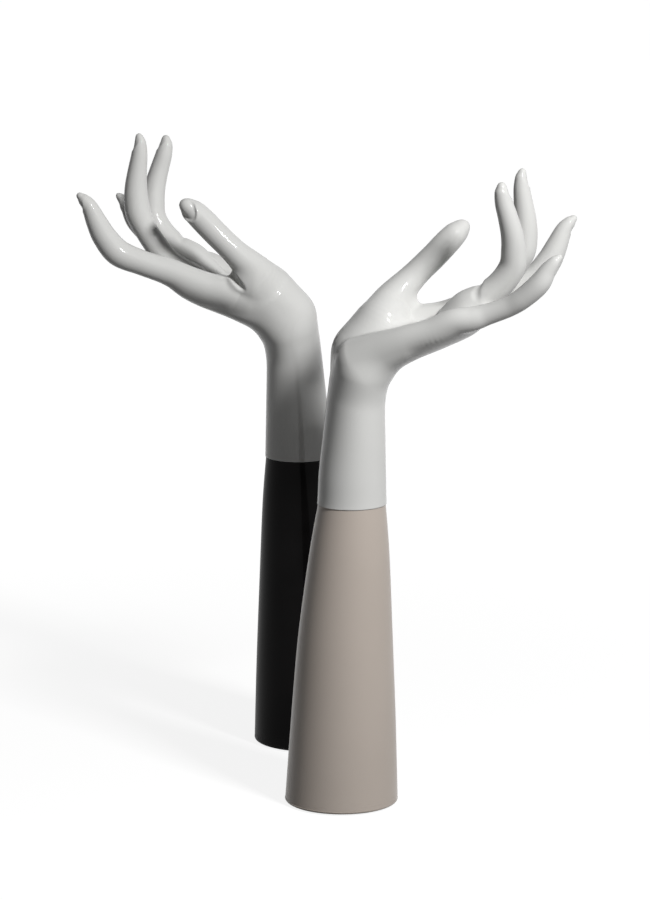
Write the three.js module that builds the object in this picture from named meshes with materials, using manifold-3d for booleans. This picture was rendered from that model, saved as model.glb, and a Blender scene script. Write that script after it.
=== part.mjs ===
// A pair of display hands on tapered forearms, modelled in millimetres with +Z up.
// Both arms are the same left-hand casting. The origin is the centre of the front arm's foot,
// on the table, and +X is the way the front hand's fingers point.
import * as THREE from 'three';
import { mergeVertices } from 'three/addons/utils/BufferGeometryUtils.js';
import Module from 'manifold-3d';

const wasm = await Module();
wasm.setup();

// Forearm sleeve: height above the table, axis offset along X, outer radius
const SEAM_Z = 214.8;          // colour line, where the hand casting sits on the sleeve
const SEAM_X = 7.2;            // the forearm leans this far towards the fingers at the colour line
const SEAM_R = 23.5;
const FOOT_R = 39.8;
const FOOT_EDGE = 1.8;         // rounding of the foot's lower edge
const SLEEVE_CLEAR = 1;        // the felt lifts the sleeve's rim off the table
const SLEEVE = [
  [0, 0, FOOT_R], [60, 1.4, 36.8], [120, 2.8, 33.1], [180, 5.5, 27.9], [SEAM_Z, SEAM_X, SEAM_R],
];
const WALL = 5;                // casting wall of the sleeve
const RIM = 4.5;               // wall of the sleeve round the base plate
const LEDGE = 3.3;             // ledge inside the foot that the base plate pushes against
const FIT = 0.3;               // clearance all round between pieces that go into each other

// Foot and ballast
const FELT_H = 3;
const PLATE_H = 14;
const PLATE_R = FOOT_R - RIM - FIT;
const PLATE_TOP = FELT_H + PLATE_H;
const FELT_R = PLATE_R - 0.5;
const BALLAST_GAP = 2.7;       // the shell leans, so the upright ballast needs more room than FIT
const BALLAST_R = PLATE_R - LEDGE - BALLAST_GAP;
const BALLAST_H = 40;

// Tie rod that clamps hand, sleeve and base plate together
const ROD_X = 4.5;
const ROD_R = 4;
const NUT_FLATS = 13;
const NUT_H = 6.5;
const WASHER_R = 12;
const WASHER_H = 2;
const RECESS_R = 14;
const RECESS_H = 9;
const ANCHOR_R = 7;
const ANCHOR_H = 20;
const ANCHOR_SUNK = 3;         // the insert sits this far up inside the spigot
const ANCHOR_CAP = 3;          // closed end of the insert's bore

// Spigot under the hand, and the dowel that stops it turning
const SPIGOT_R = 17.5;
const SPIGOT_H = 15.8;
const DOWEL_R = 1.5;
const DOWEL_H = 14;
const DOWEL_Y = (SPIGOT_R + FIT + SEAM_R) / 2;

// The rear arm stands behind the front one, turned almost right round
const REAR = { x: -15.7, y: 162.8, turn: THREE.MathUtils.degToRad(174.14) };

// Hand casting above the colour line: x, y, z of the section's centre, the climb of the axis in
// degrees, half the thickness, half the width, and the roll that lifts the little-finger side
const WRIST_AND_PALM = [
  [SEAM_X, 0, SEAM_Z, 90, SEAM_R, SEAM_R, 0],
  [7.5, 0, 235, 90, 22.8, 23.8, 0],
  [8.4, 0, 256, 90, 21.5, 24.3, 0],
  [9.4, 0, 278, 88, 20.3, 25.2, 0],
  [10.6, 0, 296, 82, 19.8, 26.4, 0],
  [14.5, 0, 312.5, 58, 18.6, 28.5, 0],
  [29.4, -2, 322, 36, 15.4, 29.5, -4],
  [46.8, -5, 328.6, 24, 12, 32.5, -7],
  [66.8, -9, 335.5, 21, 9.9, 33.5, -10],
  [86.2, -10.5, 344.8, 20, 9.6, 34, -9],
  [96, -11, 351, 20, 6, 29, -8],
];

// Digits, from inside the palm to the tip: x, y, z, half thickness. The thumb starts in its pad,
// the little finger in the pad below it, and the web and its muscle span thumb and index finger.
const DIGITS = {
  index: [
    [42, 19, 335, 12], [56, 20.5, 339.3, 11.5], [70, 20, 341.8, 11], [84, 19.5, 346.8, 10.4],
    [98.2, 19.5, 353, 9.8], [117.9, 22, 360, 9.1], [135.2, 23.5, 367.4, 9.7], [145, 25, 379, 8.9],
    [150.6, 25.8, 389.8, 7.7], [155.6, 26.4, 401, 5.9], [159.8, 26.7, 406.4, 4.6],
    [162.6, 26.9, 409.2, 3.4],
  ],
  middle: [
    [84, 0.5, 345.5, 10.5], [101, -1.5, 357, 9.4], [112.5, -4, 371.5, 8.5], [119, -5.3, 382, 8.7],
    [123.6, -6.5, 392, 9.4], [125.2, -7.5, 402, 9], [125.4, -8.5, 412, 8.1],
    [124.5, -9.2, 422, 7.1], [122.8, -9.8, 435, 5.8], [122.4, -10.2, 442.5, 4.6],
    [122.9, -10.3, 446.6, 3.6],
  ],
  ring: [
    [74, -18, 346.5, 10.5], [85.3, -21.3, 355.8, 12.1], [97.5, -25, 363.8, 10.3], [108, -28, 374, 9.4],
    [114.8, -30.5, 385.7, 9.2], [115.3, -33, 397, 8.6], [114, -35.5, 408, 7.8],
    [110.9, -37.8, 420, 6.9], [107.9, -39, 430, 6.2], [106.4, -40, 437, 5.2], [106.2, -40.3, 440.9, 4.2],
  ],
  pinky: [
    [10, -12, 319.5, 13.8], [22.5, -19.5, 327, 11.3], [40, -29.5, 335.8, 8.6], [58, -36, 342.8, 7.8],
    [74, -41, 350.2, 8], [87, -43, 351.8, 8.1], [97, -45, 355, 7.3],
    [110.6, -50, 361, 7.1], [120.1, -55, 367.8, 7.3], [130.3, -60, 378.1, 7.4],
    [136, -61.5, 387.4, 5.8], [139.9, -62.3, 392.8, 4.4], [142.8, -62.7, 395.9, 3.2],
  ],
  thumb: [
    [12.5, 9, 322, 16.6], [26.5, 14.5, 340, 17.8], [36, 22.5, 354, 12.6], [50.9, 27, 369.2, 9.5],
    [65.3, 27.3, 383.4, 9.1], [72.5, 27.6, 391, 9.1], [79, 28.6, 397.6, 8.6], [84, 30, 402.1, 7.6],
  ],
  web: [[38, 24, 344.5, 10], [47, 24, 345.3, 9], [55, 22.5, 344, 8.2]],
  muscle: [[14, 12, 324, 14], [26, 18, 334, 12.5], [38, 21, 339.5, 10.5]],
};
const ARM_SIDES = 28;
const DIGIT_SIDES = 14;
const SQUARENESS = 2.3;        // the palm's sections are a little squarer than an ellipse

// Passes a smooth curve through rows of numbers, with extra rows between each two
function smooth(rows, steps) {
  const at = (i) => rows[Math.min(Math.max(i, 0), rows.length - 1)];
  const out = [];
  for (let i = 0; i < rows.length - 1; i++)
    for (let s = 0; s < steps; s++) {
      const t = s / steps;
      out.push(rows[i].map((_, k) => {
        const [a, b, c, d] = [at(i - 1)[k], at(i)[k], at(i + 1)[k], at(i + 2)[k]];
        return b + 0.5 * t * (c - a + t * (2 * a - 5 * b + 4 * c - d + t * (3 * b - a - 3 * c + d)));
      }));
    }
  out.push(rows.at(-1));
  return out;
}

// Closes a stack of rings of equal count into one skin, with a point at each end
function skin(rings, first, last) {
  const n = rings[0].length;
  const points = [first, ...rings.flat(), last];
  const index = [];
  for (let j = 0; j < n; j++) {
    const k = (j + 1) % n;
    index.push(0, 1 + k, 1 + j);
    for (let i = 0; i + 1 < rings.length; i++) {
      const [a, b, c, d] = [1 + i * n + j, 1 + i * n + k, 1 + (i + 1) * n + k, 1 + (i + 1) * n + j];
      index.push(a, b, c, a, c, d);
    }
    const top = 1 + (rings.length - 1) * n;
    index.push(top + j, top + k, points.length - 1);
  }
  return new THREE.BufferGeometry().setFromPoints(points).setIndex(index);
}

// A ring around a centre, where u and v are the half axes as vectors
function ring(centre, u, v, sides, power = 2) {
  const round = (t) => Math.sign(t) * Math.abs(t) ** (2 / power);
  return Array.from({ length: sides }, (_, i) => {
    const t = (2 * Math.PI * i) / sides;
    return centre.clone().addScaledVector(u, round(Math.cos(t))).addScaledVector(v, round(Math.sin(t)));
  });
}

// Upright tube of round sections: rows of z, x, radius
function turned(rows, sides = ARM_SIDES) {
  const centre = ([z, x]) => new THREE.Vector3(x, 0, z);
  const rings = rows.map((row) =>
    ring(centre(row), new THREE.Vector3(row[2], 0, 0), new THREE.Vector3(0, row[2], 0), sides));
  return skin(rings, centre(rows[0]), centre(rows.at(-1)));
}

// Upright cylinder that stands on height z
function post(radius, height, x, y, z, sides = 24) {
  return new THREE.CylinderGeometry(radius, radius, height, sides)
    .rotateX(Math.PI / 2).translate(x, y, z + height / 2);
}

// Forearm, wrist and palm as one flowing skin
function palmSkin() {
  const rings = smooth(WRIST_AND_PALM, 2).map(([x, y, z, climb, thick, wide, roll], i) => {
    const c = THREE.MathUtils.degToRad(climb), r = THREE.MathUtils.degToRad(roll);
    const across = new THREE.Vector3(0, 1, 0);
    const dorsal = new THREE.Vector3(Math.sin(c), 0, -Math.cos(c));
    const axis = new THREE.Vector3(Math.cos(c), 0, Math.sin(c));
    across.applyAxisAngle(axis, r);
    dorsal.applyAxisAngle(axis, r);
    const power = 2 + (SQUARENESS - 2) * Math.min(1, i / 10);
    return ring(new THREE.Vector3(x, y, z), dorsal.multiplyScalar(thick), across.multiplyScalar(wide),
      ARM_SIDES, power);
  });
  const [x, y, z] = WRIST_AND_PALM.at(-1);
  return skin(rings, new THREE.Vector3(SEAM_X, 0, SEAM_Z), new THREE.Vector3(x + 4, y, z + 1.5));
}

// One digit as a round section that follows its curve, closed by a blunt point
function digitSkin(rows) {
  const path = smooth(rows, 1).map(([x, y, z, r]) => ({ at: new THREE.Vector3(x, y, z), r }));
  const rings = path.map(({ at, r }, i) => {
    const tangent = (path[i + 1] ?? path[i]).at.clone().sub((path[i - 1] ?? path[i]).at).normalize();
    const side = new THREE.Vector3(0, 1, 0).addScaledVector(tangent, -tangent.y).normalize();
    const up = tangent.clone().cross(side);
    return ring(at, side.multiplyScalar(r), up.multiplyScalar(r), DIGIT_SIDES);
  });
  const [before, end] = path.slice(-2);
  const beyond = end.at.clone().sub(before.at).setLength(end.r).add(end.at);
  return skin(rings, path[0].at, beyond);
}

// Geometry to solid and back, for joining and cutting
function solid(geometry) {
  const g = geometry.clone();
  g.deleteAttribute('normal');
  g.deleteAttribute('uv');
  const merged = mergeVertices(g, 1e-4);
  return new wasm.Manifold(new wasm.Mesh({
    numProp: 3,
    vertProperties: new Float32Array(merged.attributes.position.array),
    triVerts: new Uint32Array(merged.index.array),
  }));
}

function geometry(body) {
  const { vertProperties, triVerts } = body.getMesh();
  const g = new THREE.BufferGeometry();
  g.setAttribute('position', new THREE.BufferAttribute(vertProperties, 3));
  g.setIndex(new THREE.BufferAttribute(triVerts, 1));
  g.computeVertexNormals();
  return g;
}

// Hand casting: palm and digits in one piece, with a spigot below the colour line
function handCasting() {
  let body = solid(palmSkin());
  for (const rows of Object.values(DIGITS)) body = body.add(solid(digitSkin(rows)));
  return body
    .add(solid(post(SPIGOT_R, SPIGOT_H + 2, SEAM_X, 0, SEAM_Z - SPIGOT_H)))
    .subtract(solid(post(ANCHOR_R + FIT, ANCHOR_SUNK + ANCHOR_H + 0.8, ROD_X, 0, SEAM_Z - SPIGOT_H - 0.5)))
    .subtract(solid(post(DOWEL_R + FIT, DOWEL_H / 2 + FIT + 1, SEAM_X, DOWEL_Y, SEAM_Z - 1, 16)));
}

// Sleeve: a tapered shell with a ledge in its foot and a socket at its top
function sleeveCasting() {
  const outer = smooth(SLEEVE, 3).filter(([z]) => z > SLEEVE_CLEAR + FOOT_EDGE);
  outer.unshift([SLEEVE_CLEAR, 0, FOOT_R - FOOT_EDGE], [SLEEVE_CLEAR + 0.6, 0, FOOT_R - 0.4],
    [SLEEVE_CLEAR + FOOT_EDGE, 0, FOOT_R]);
  const inside = smooth(SLEEVE, 2).filter(([z]) => z > PLATE_TOP && z < SEAM_Z - SPIGOT_H)
    .map(([z, x, r]) => [z, x, Math.min(r - WALL, PLATE_R - LEDGE)]);
  inside.unshift([PLATE_TOP - 1, 0, PLATE_R - LEDGE]);
  const socketZ = SEAM_Z - SPIGOT_H - FIT;
  return solid(turned(outer))
    .subtract(solid(turned(inside)))
    .subtract(solid(post(PLATE_R + FIT, PLATE_TOP, 0, 0, 0, 32)))
    .subtract(solid(post(SPIGOT_R + FIT, SPIGOT_H + 30, SEAM_X, 0, socketZ - 20)))
    .subtract(solid(post(DOWEL_R + FIT, DOWEL_H / 2 + FIT + 1, SEAM_X, DOWEL_Y,
      SEAM_Z - DOWEL_H / 2 - FIT, 16)));
}

function basePlate() {
  return solid(post(PLATE_R, PLATE_H, 0, 0, FELT_H, 32))
    .subtract(solid(post(RECESS_R, RECESS_H + 1, ROD_X, 0, FELT_H - 1)))
    .subtract(solid(post(ROD_R + FIT, PLATE_H + 2, ROD_X, 0, FELT_H - 1)));
}

// A disc, block or nut with the rod's hole through it
function drilled(outside) {
  return solid(outside).subtract(solid(post(ROD_R + FIT, 400, ROD_X, 0, -50)));
}

const WHITE = { color: 0xdededb, roughness: 0.2, metalness: 0 };
const TAUPE = { color: 0xaaa095, roughness: 0.22, metalness: 0 };
const BLACK = { color: 0x0d0c0d, roughness: 0.12, metalness: 0 };
const BOARD = { color: 0x8a6a48, roughness: 0.8, metalness: 0 };
const FELT = { color: 0x2b2b2c, roughness: 1, metalness: 0 };
const IRON = { color: 0x4b4a49, roughness: 0.75, metalness: 0.8 };
const STEEL = { color: 0xb4b6b8, roughness: 0.35, metalness: 1 };
const BRASS = { color: 0xb99650, roughness: 0.35, metalness: 1 };

function arm(side, sleeveColour) {
  const group = new THREE.Group();
  const add = (name, body, look) => {
    const mesh = new THREE.Mesh(geometry(body), new THREE.MeshStandardMaterial(look));
    mesh.name = `${side}_${name}`;
    group.add(mesh);
  };
  const recessTop = FELT_H + RECESS_H;
  const anchorZ = SEAM_Z - SPIGOT_H + ANCHOR_SUNK;
  const rodZ = FELT_H + 0.2;
  const rodTop = anchorZ + ANCHOR_H - ANCHOR_CAP - 1.8;
  add('hand', handCasting(), WHITE);
  add('sleeve', sleeveCasting(), sleeveColour);
  add('dowel', solid(post(DOWEL_R, DOWEL_H, SEAM_X, DOWEL_Y, SEAM_Z - DOWEL_H / 2, 16)), STEEL);
  add('anchor', solid(post(ANCHOR_R, ANCHOR_H, ROD_X, 0, anchorZ))
    .subtract(solid(post(ROD_R + FIT, ANCHOR_H - ANCHOR_CAP + 1, ROD_X, 0, anchorZ - 1))), BRASS);
  add('tie_rod', solid(post(ROD_R, rodTop - rodZ, ROD_X, 0, rodZ)), STEEL);
  add('ballast', drilled(post(BALLAST_R, BALLAST_H, 0, 0, PLATE_TOP, 32)), IRON);
  add('base_plate', basePlate(), BOARD);
  add('washer', drilled(post(WASHER_R, WASHER_H, ROD_X, 0, recessTop - WASHER_H)), STEEL);
  add('nut', drilled(post(NUT_FLATS / Math.sqrt(3), NUT_H, ROD_X, 0, recessTop - WASHER_H - NUT_H, 6)),
    STEEL);
  add('felt_pad', solid(post(FELT_R, FELT_H, 0, 0, 0, 32)), FELT);
  return group;
}

const pair = new THREE.Group();
pair.add(arm('front', TAUPE));
const rear = arm('rear', BLACK);
rear.position.set(REAR.x, REAR.y, 0);
rear.rotation.z = REAR.turn;
pair.add(rear);

export default pair;
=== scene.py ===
# %% [markdown]
# # A pair of lacquered display hands
# Two resin forearms with raised hands stand back to back. Each has a glossy white hand that sits on a
# lacquered sleeve, taupe in front and black behind. This lesson builds the hand as a distance field that
# is turned into one smooth skin, and turns the sleeves and the hidden hardware with Geometry Nodes.
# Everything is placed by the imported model, in metres, with the front arm's foot at the origin.

# %% Load the frame
import math
from functools import partial

import bmesh
import bpy
import numpy as np
from mathutils import Matrix, Vector


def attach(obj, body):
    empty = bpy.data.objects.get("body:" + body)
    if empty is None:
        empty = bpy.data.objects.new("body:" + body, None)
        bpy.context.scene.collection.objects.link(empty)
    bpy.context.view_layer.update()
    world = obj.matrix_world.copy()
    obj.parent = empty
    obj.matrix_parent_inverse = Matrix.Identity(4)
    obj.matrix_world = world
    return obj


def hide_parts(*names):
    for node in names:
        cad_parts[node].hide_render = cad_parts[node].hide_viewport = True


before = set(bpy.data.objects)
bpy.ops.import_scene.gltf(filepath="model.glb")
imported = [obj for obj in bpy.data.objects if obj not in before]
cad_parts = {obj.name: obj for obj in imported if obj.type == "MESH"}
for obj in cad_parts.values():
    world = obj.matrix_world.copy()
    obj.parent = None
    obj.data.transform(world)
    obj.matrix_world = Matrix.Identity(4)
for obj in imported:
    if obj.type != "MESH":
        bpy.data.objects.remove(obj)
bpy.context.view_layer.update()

# %% [markdown]
# ## The camera
# The photograph looks slightly down on the pair from almost three metres away, through a long lens, so
# the arms stay upright and their feet show as flat ellipses. The camera comes first, because every
# later choice is judged through it.

# %% Camera
MM = 0.001
CAMERA_PLACE = (-0.1614, -2.9286, 0.860)
CAMERA_HEADING = (0.0511, 0.9987)      # along the floor, from the camera towards the arms
CAMERA_PITCH = 11.702                  # degrees below level
CAMERA_LENS = 172.7                    # mm, for a 36 mm sensor on the long side of the picture

camera = bpy.data.objects.new("camera", bpy.data.cameras.new("camera"))
bpy.context.scene.collection.objects.link(camera)
camera.data.lens = CAMERA_LENS
camera.data.sensor_width = 36
camera.data.clip_start = 0.05
camera.data.clip_end = 50
pitch = math.radians(CAMERA_PITCH)
level = math.cos(pitch)
looking = Vector((CAMERA_HEADING[0] * level, CAMERA_HEADING[1] * level, -math.sin(pitch)))
camera.location = CAMERA_PLACE
camera.rotation_euler = looking.to_track_quat("-Z", "Y").to_euler()
bpy.context.scene.camera = camera
print("camera looks along", tuple(round(v, 3) for v in looking))

# %% [markdown]
# ## The hand's stations
# A sculptor starts an arm with a wire and a few measured sections. The same is done here: each row is a
# section of the forearm and palm, or of a digit, in millimetres from the centre of the arm's foot. A
# smooth curve runs through the rows, so a handful of them is enough for a whole finger. The thumb's web
# and its muscle are short digits that end inside the palm. The last two lists are tools: what they fill
# is cut away, which gives the slit in the thumb's web and the soft crease at the ring finger's root.

# %% Stations of the forearm, palm and digits
# x, y, z, climb of the axis in degrees, half thickness, half width, roll of the section in degrees
FOREARM = [
    [6.3, 0, 200, 90, 25.5, 25.5, 0],
    [7.2, 0, 214.8, 90, 23.5, 23.5, 0],
    [7.5, 0, 235, 90, 22.8, 23.8, 0],
    [8.4, 0, 256, 90, 21.5, 24.3, 0],
    [9.4, 0, 278, 88, 20.1, 25, 0],
    [10.6, 0, 294, 88, 19.2, 25.6, 0],
    [12.4, 0, 304, 86, 17.4, 25.6, 0],
]
PALM = [
    [14.5, 0, 312.5, 42, 15.5, 27, 0],
    [29.4, -2, 322, 36, 14.8, 29.5, -4],
    [46.8, -5, 328.6, 24, 11.8, 32.5, -7],
    [66.8, -9, 335.5, 21, 9.9, 33.5, -10],
    [86.2, -10.5, 344.8, 20, 9.6, 34, -9],
    [96, -11, 351, 20, 6, 29, -8],
]
# x, y, z and half thickness
DIGITS = {
    "index": [
        [42, 19, 335, 12], [56, 20.5, 339.3, 11.5], [70, 20, 341.8, 11], [84, 19.5, 346.8, 10.4],
        [98.2, 19.5, 353, 9.8], [117.9, 22, 360, 9.1], [135.2, 23.5, 367.4, 9.7], [145, 25, 379, 8.9],
        [150.6, 25.8, 389.8, 7.7], [155.6, 26.4, 401, 5.9], [159.8, 26.7, 406.4, 4.6],
        [162.2, 26.9, 408.9, 3.3],
    ],
    "middle": [
        [84, 0.5, 345.5, 10.5], [101, -1.5, 357, 9.4], [112.5, -4, 371.5, 8.5], [119, -5.3, 382, 8.7],
        [123.6, -6.5, 392, 9.4], [125.2, -7.5, 402, 9], [125.4, -8.5, 412, 8.1], [124.5, -9.2, 422, 7.1],
        [122.8, -9.8, 435, 5.8], [122.4, -10.2, 442.5, 4.6], [122.9, -10.3, 446.6, 3.6],
    ],
    "ring": [
        [74, -18, 346.5, 10.5], [85.3, -21.3, 355.8, 12.1], [97.5, -25, 363.8, 10.3], [108, -28, 374, 9.4],
        [114.8, -30.5, 385.7, 9.2], [115.3, -33, 397, 8.6], [114, -35.5, 408, 7.8], [110.9, -37.8, 420, 6.9],
        [107.9, -39, 430, 6.2], [106.4, -40, 437, 5.2], [106.2, -40.3, 440.9, 4.2],
    ],
    "little": [
        [10, -12, 319.5, 13.8], [22.5, -19.5, 327, 11.3], [40, -29.5, 335.8, 8.6], [58, -36, 342.8, 7.8],
        [74, -41, 350.2, 8], [87, -43, 351.8, 8.1], [97, -45, 355, 7.3], [110.6, -50, 361, 7.1],
        [120.1, -55, 367.8, 7.3], [130.3, -59.5, 378.1, 7.4], [136, -61.2, 387.4, 5.8],
        [139.9, -62.3, 392.8, 4.4], [142.8, -62.4, 395.9, 3.2],
    ],
    "thumb": [
        [12.5, 9, 322, 16.6], [28, 12.6, 340.3, 17.9], [36.6, 21.6, 354.2, 12.9], [50.9, 27, 369.2, 9.5],
        [65.3, 27.3, 383.4, 9.1], [72.5, 27.6, 391, 9.1], [79, 28.6, 397.6, 8.6], [84, 30, 402.1, 7.6],
    ],
    "web": [[38, 24, 344.5, 10], [47, 24, 345.3, 9], [55, 22.5, 344, 8.2]],
    "muscle": [[14, 12, 324, 14], [26, 18, 334, 12.5], [38, 21, 339.5, 10.5]],
}
CUTS = {
    "slit": [
        [60, 22.5, 357.5, 3.8], [55.5, 25.5, 354.6, 3.4], [52.5, 27.4, 352.6, 3.1], [50.2, 29.5, 350.4, 2.8],
        [47.5, 32, 347, 2.4], [45.8, 33.2, 344.7, 1.9], [44.4, 34.6, 342.6, 1],
    ],
    "ring_crease": [
        [93.3, -11.6, 369.6, 2.2], [92.3, -19.2, 374.2, 3.4], [91.4, -26.8, 374.8, 3.5],
        [89.7, -31, 372.6, 3.5], [88.8, -33.4, 369.2, 3.5], [89.7, -36.6, 364.6, 3.1],
        [91.2, -37.3, 360.6, 1.2],
    ],
}
ACROSS_NAIL = (0, 1, 0)
ACROSS_THUMB_NAIL = (-0.65, 0.35, 0.65)
PALM_POWER = 2.25       # the palm's sections are a little squarer than an ellipse
NOSE = 1.7              # a digit's tip narrows over this many times its last half thickness
SHARPEST = 0.003        # the square of the share of its thickness that the tip's last section keeps
STEPS = 8               # sections between two stations


def smooth(rows, steps=STEPS):
    """A smooth curve through the rows, with extra rows between each two."""
    p = np.array(rows, float)
    q = np.vstack([p[0], p, p[-1]])
    t = np.linspace(0, 1, steps, endpoint=False)[:, None]
    parts = [
        b + 0.5 * t * (c - a + t * (2 * a - 5 * b + 4 * c - d + t * (3 * b - a - 3 * c + d)))
        for a, b, c, d in zip(q, q[1:], q[2:], q[3:])
    ]
    return np.vstack([*parts, p[-1:]])


print("digits", {name: len(rows) for name, rows in DIGITS.items()})

# %% [markdown]
# ## From sections to a distance field
# A field gives every point in space its distance to the surface, negative inside. Two fields are joined
# by their smaller value, and when the change from one to the other is rounded, the joint between finger
# and palm fills like modelling clay. Each limb below is a sweep: a centreline with an oval section at
# every place.

# %% Sweeps
def unit(v):
    return v / np.linalg.norm(v, axis=-1, keepdims=True)


def sweep(centre, along, up, thick, wide, power):
    """A row for each section: centre, axis, dorsal way, sideways, sizes, and length left to the end."""
    along, up = unit(along), unit(up)
    steps = np.r_[np.linalg.norm(np.diff(centre, axis=0), axis=1), 0]
    left = np.cumsum(steps[::-1])[::-1]
    columns = [thick, wide, power * np.ones(len(centre)), left]
    return np.column_stack([centre, along, up, np.cross(up, along), *columns])


def turned_about(v, axis, angle):
    c, s = np.cos(angle)[:, None], np.sin(angle)[:, None]
    return v * c + np.cross(axis, v) * s + axis * (v * axis).sum(1, keepdims=True) * (1 - c)


def arm_sweep(rows, power):
    rows = smooth(rows)
    climb, roll = np.radians(rows[:, 3]), np.radians(rows[:, 6])
    none = np.zeros(len(rows))
    axis = np.column_stack([np.cos(climb), none, np.sin(climb)])
    dorsal = turned_about(np.column_stack([np.sin(climb), none, -np.cos(climb)]), axis, roll)
    return sweep(rows[:, :3], axis, dorsal, rows[:, 4], rows[:, 5], power)


def digit_sweep(rows, across_nail=ACROSS_NAIL):
    """A digit's sections, with a few more past its last row that narrow to a round tip."""
    rows = smooth(rows)
    ahead = unit(rows[-1, :3] - rows[-2, :3])
    past_end = np.linspace(0, rows[-1, 3], STEPS + 1)[1:]
    rows = np.vstack([rows, [[*(rows[-1, :3] + ahead * step), rows[-1, 3]] for step in past_end]])
    to_tip = np.cumsum(np.r_[0, np.linalg.norm(np.diff(rows[::-1, :3], axis=0), axis=1)])[::-1]
    blunt = np.clip(to_tip / (NOSE * rows[-1, 3]), 0, 1)
    rows[:, 3] *= np.sqrt(np.maximum(blunt * (2 - blunt), SHARPEST))
    along = unit(np.gradient(rows[:, :3], axis=0))
    side = np.array(across_nail, float) - along * (along @ np.array(across_nail, float))[:, None]
    dorsal = np.cross(unit(side), along)
    return sweep(rows[:, :3], along, dorsal, rows[:, 3], rows[:, 3], 2)


def in_section(limb, points, chunk=20000):
    """The section nearest to each point, and the point in its axes: dorsal, sideways, beyond the end."""
    centre = limb[:, :3]
    edge = np.diff(centre, axis=0)
    edge2 = (edge * edge).sum(1)
    place = np.empty(len(points))
    for i in range(0, len(points), chunk):
        p = points[i:i + chunk]
        along = p @ edge.T - (centre[:-1] * edge).sum(1)
        gap2 = (p * p).sum(1)[:, None] - 2 * p @ centre[:-1].T + (centre[:-1] ** 2).sum(1)
        t = np.clip(along / edge2, 0, 1)
        gap2 += t * (t * edge2 - 2 * along)
        best = gap2.argmin(1)
        place[i:i + chunk] = best + t[np.arange(len(p)), best]
    low = np.minimum(place.astype(int), len(limb) - 2)
    f = (place - low)[:, None]
    row = limb[low] * (1 - f) + limb[low + 1] * f
    gap = points - row[:, :3]
    u = (gap * row[:, 6:9]).sum(1)
    v = (gap * row[:, 9:12]).sum(1)
    w = (gap * row[:, 3:6]).sum(1)
    return u, v, w, row[:, 12], row[:, 13], row[:, 14], row[:, 15] - w


def oval_distance(u, v, w, thick, wide, power):
    """Distance to an oval section, right to first order near the surface."""
    tiny = 1e-6
    a, b, c = np.abs(u) / thick + tiny, np.abs(v) / wide + tiny, np.abs(w) / thick + tiny
    size = (a ** power + b ** power + c ** power) ** (1 / power)
    slope = np.sqrt(
        (a ** (power - 1) / thick) ** 2 + (b ** (power - 1) / wide) ** 2 + (c ** (power - 1) / thick) ** 2
    )
    return (size - 1) * size ** (power - 1) / slope


def soft_min(a, b, reach):
    """The smaller of two distances, rounded where they differ by less than reach."""
    h = np.clip(0.5 + 0.5 * (b - a) / reach, 0, 1)
    return b + (a - b) * h - reach * h * (1 - h)


WRIST_LIMB, PALM_LIMB = arm_sweep(FOREARM, 2), arm_sweep(PALM, PALM_POWER)
LIMBS = {name: digit_sweep(rows) for name, rows in {**DIGITS, **CUTS}.items()}
LIMBS["thumb"] = digit_sweep(DIGITS["thumb"], ACROSS_THUMB_NAIL)
print("palm sections", len(PALM_LIMB), "and digits", {n: len(s) for n, s in LIMBS.items()})

# %% [markdown]
# ## Nails
# The casting has long almond nails that end in the fingertips. In profile each nail is straight and the
# finger's back swells behind its root, so a small notch shows there. The nails are carved in the field
# instead of in the mesh: inside an oval the nail sinks towards its root, and just outside it the skin
# swells. Distances from the nail's middle are counted in ovals, so 1 is the nail's own outline.

# %% Nails in the field
# length, width, and how far the nail's root lies below the digit's back, all in mm
NAILS = {
    "index": (13, 8.6, 0.5), "middle": (13, 8.2, 0.5), "ring": (12, 8, 0.45), "little": (10, 6.2, 0.45),
    "thumb": (15, 12, 1.3),
}
NAIL_MIDDLE = 0.42     # share of the nail's length between the digit's tip and the oval's middle
NAIL_RAMP = 1.6        # the nail is at its full depth at its length divided by this
NAIL_RIM, RIM_WIDTH = 1.1, 0.2
NAIL_FOLD = 0.3        # the skin round the nail swells by this part of the nail's depth
FOLD_RIM, FOLD_WIDTH = 1.2, 0.14
BACK_FADE = 1.5        # mm above the digit's middle plane where the relief is at its full depth


def nail_relief(name, u, v, left):
    """How far the nail sinks the digit's surface and the skin round its root raises it, in mm."""
    if name not in NAILS:
        return 0
    long, wide, deep = NAILS[name]
    oval = np.hypot((left - long * NAIL_MIDDLE) / (long * (1 - NAIL_MIDDLE)), v / (wide / 2))
    ramp = np.clip(NAIL_RAMP * left / long, 0, 1)
    plate = np.clip((NAIL_RIM - oval) / RIM_WIDTH, 0, 1)
    fold = NAIL_FOLD * np.exp(-((oval - FOLD_RIM) / FOLD_WIDTH) ** 2)
    return deep * ramp * (fold - plate) * np.clip(u / BACK_FADE, 0, 1)


print("nail lengths", {name: size[0] for name, size in NAILS.items()})

# %% [markdown]
# ## The whole hand as one field
# The forearm and the palm are joined with a wide rounding, because the back of a raised hand folds softly
# into the wrist. Each finger flows into the palm but only touches its neighbours, so the fingers keep a
# sharp line between them where they meet. Cutting is joining with inside and outside swapped, so the slit
# and the crease use the same rounded smaller value, with the signs turned.

# %% The whole hand as one field
# how far two shapes flow into each other, mm
WRIST_FOLD, MUSCLE_FLOW, FINGER_WEB, THUMB_WEB, FINGER_CREASE = 16, 16, 7, 9, 1.2
CUT_EDGES = {"slit": 1.8, "ring_crease": 1.6}
NEARBY = 14             # a digit's field is worked out this far past its thickest section, mm
FAR = 40.0              # and stands at this further away


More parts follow.
